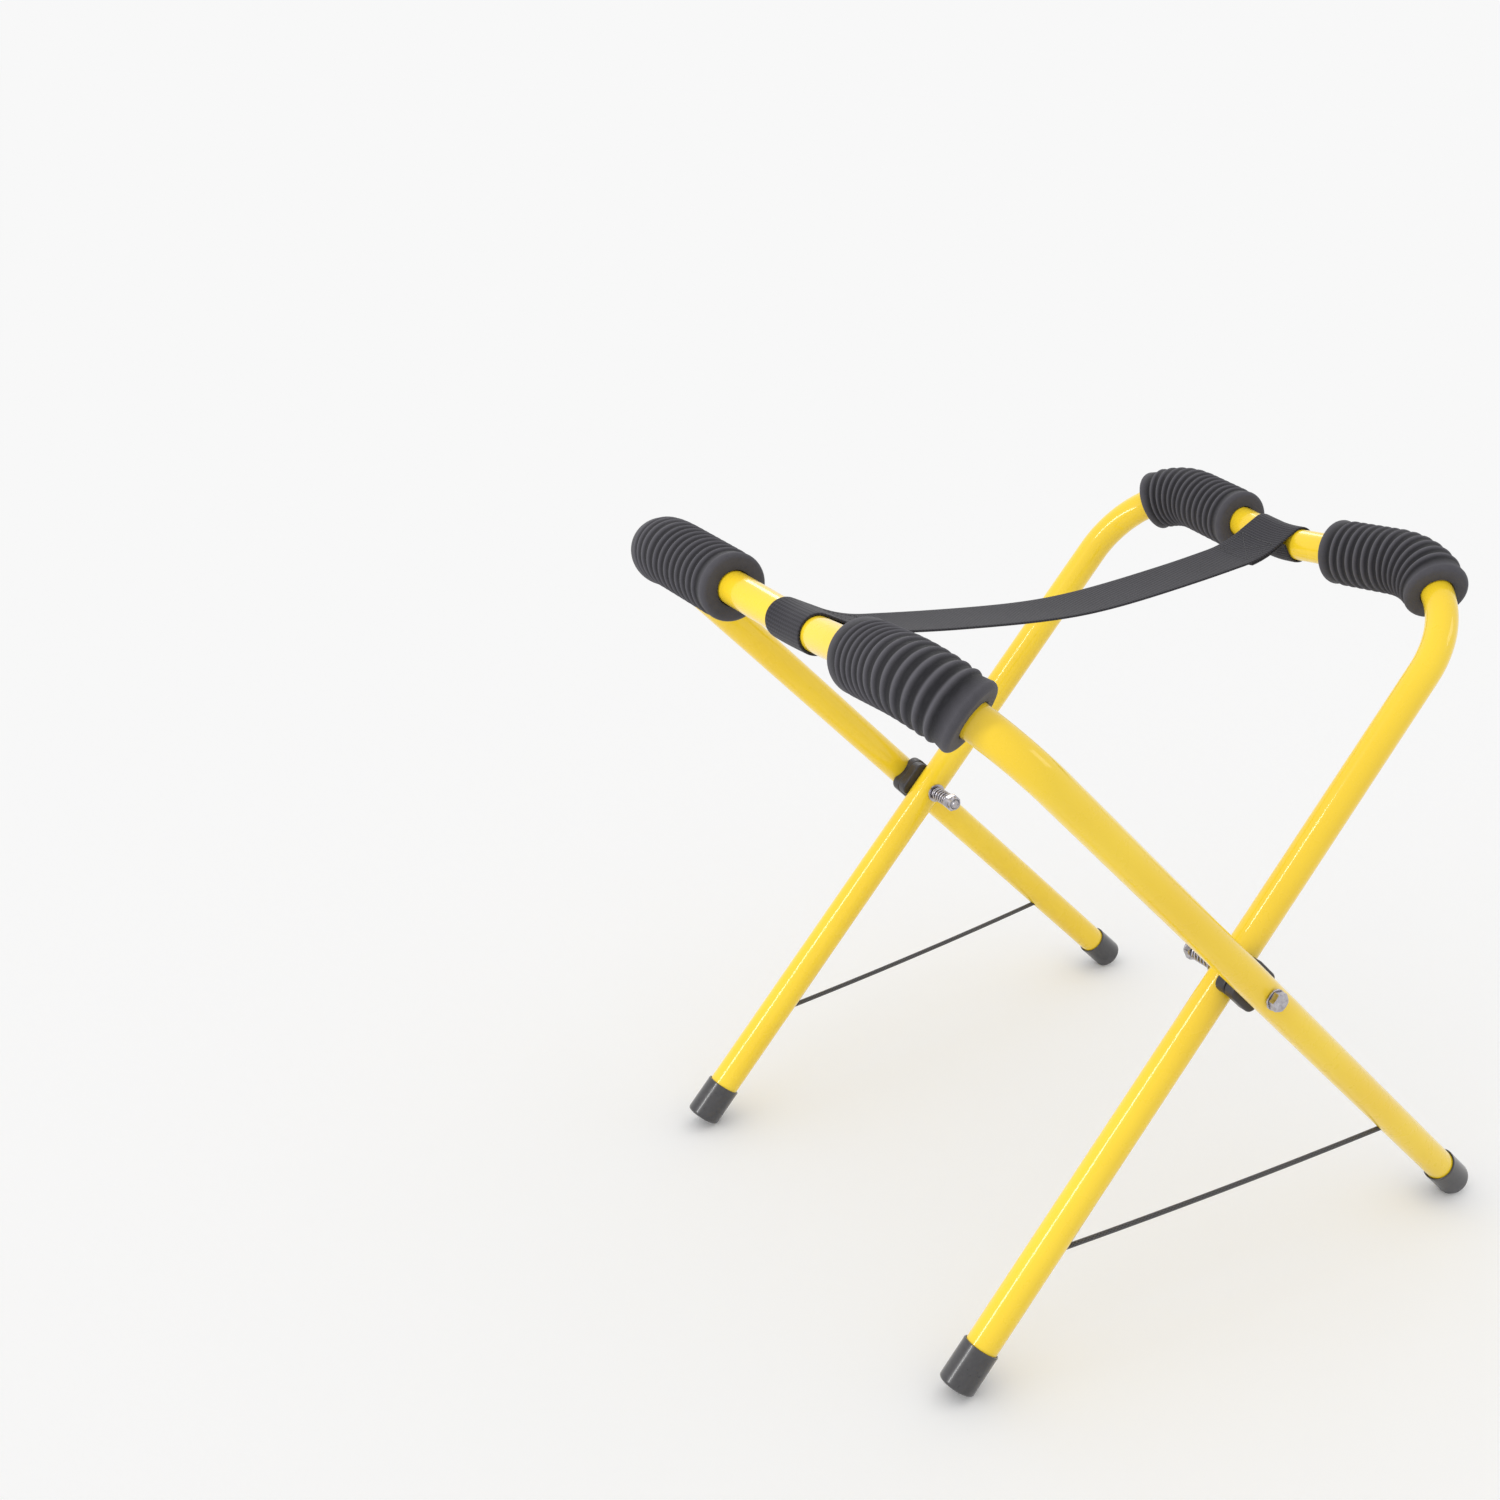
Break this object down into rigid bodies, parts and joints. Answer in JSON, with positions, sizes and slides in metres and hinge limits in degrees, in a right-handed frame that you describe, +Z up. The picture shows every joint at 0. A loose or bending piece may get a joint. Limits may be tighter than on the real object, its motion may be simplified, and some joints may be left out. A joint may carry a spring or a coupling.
{
  "type": "folding trestle",
  "caption": "Folding X-frame trestle of bent round tube with ribbed foam grips on the bar corners, a webbing sling between the bars and limit cords between the legs.",
  "frame": {"origin": "centre of the footprint at floor level", "axes": "+Z up, +Y along the top bars and the bolt axis, +X from the outer frame's top bar towards the inner frame's top bar"},
  "size_m": [0.508, 0.5236, 0.5363],
  "materials": {
    "yellow_powder_coat": "gloss powder coat",
    "black_foam": "matt closed-cell foam",
    "black_rubber": "semi-gloss moulded rubber",
    "black_plastic": "satin moulded plastic",
    "zinc_plate": "bright zinc plate",
    "black_webbing": "woven webbing",
    "black_cord": "braided cord"
  },
  "bodies": {
    "outer_frame": {"outer_frame_tube": "yellow_powder_coat", "strap_loop_outer": "black_webbing", "foam_grip_outer_left": "black_foam", "foam_grip_outer_right": "black_foam", "foot_cap_outer_left": "black_rubber", "foot_cap_outer_right": "black_rubber", "saddle_outer_left": "black_plastic", "saddle_outer_right": "black_plastic", "pivot_bolt_left": "zinc_plate", "pivot_bolt_right": "zinc_plate", "head_washer_left": "zinc_plate", "head_washer_right": "zinc_plate", "seat_washer_left": "zinc_plate", "seat_washer_right": "zinc_plate", "pivot_spring_left": "zinc_plate", "pivot_spring_right": "zinc_plate", "lock_nut_left": "zinc_plate", "lock_nut_right": "zinc_plate", "limit_cord_left": "black_cord", "limit_cord_right": "black_cord", "cord_knot_outer_left": "black_cord", "cord_knot_outer_right": "black_cord", "sling_strap": "black_webbing"},
    "inner_frame": {"inner_frame_tube": "yellow_powder_coat", "strap_loop_inner": "black_webbing", "foam_grip_inner_left": "black_foam", "foam_grip_inner_right": "black_foam", "foot_cap_inner_left": "black_rubber", "foot_cap_inner_right": "black_rubber", "saddle_inner_left": "black_plastic", "saddle_inner_right": "black_plastic", "cord_knot_inner_left": "black_cord", "cord_knot_inner_right": "black_cord"}
  },
  "joints": [
    {"name": "fold", "type": "hinge", "parent": "outer_frame", "child": "inner_frame", "pos_m": [0.0013, 0, 0.26], "axis": [0, -1, 0], "range_deg": [0, 76], "deforming": ["sling_strap", "limit_cord_left", "limit_cord_right"]}
  ]
}
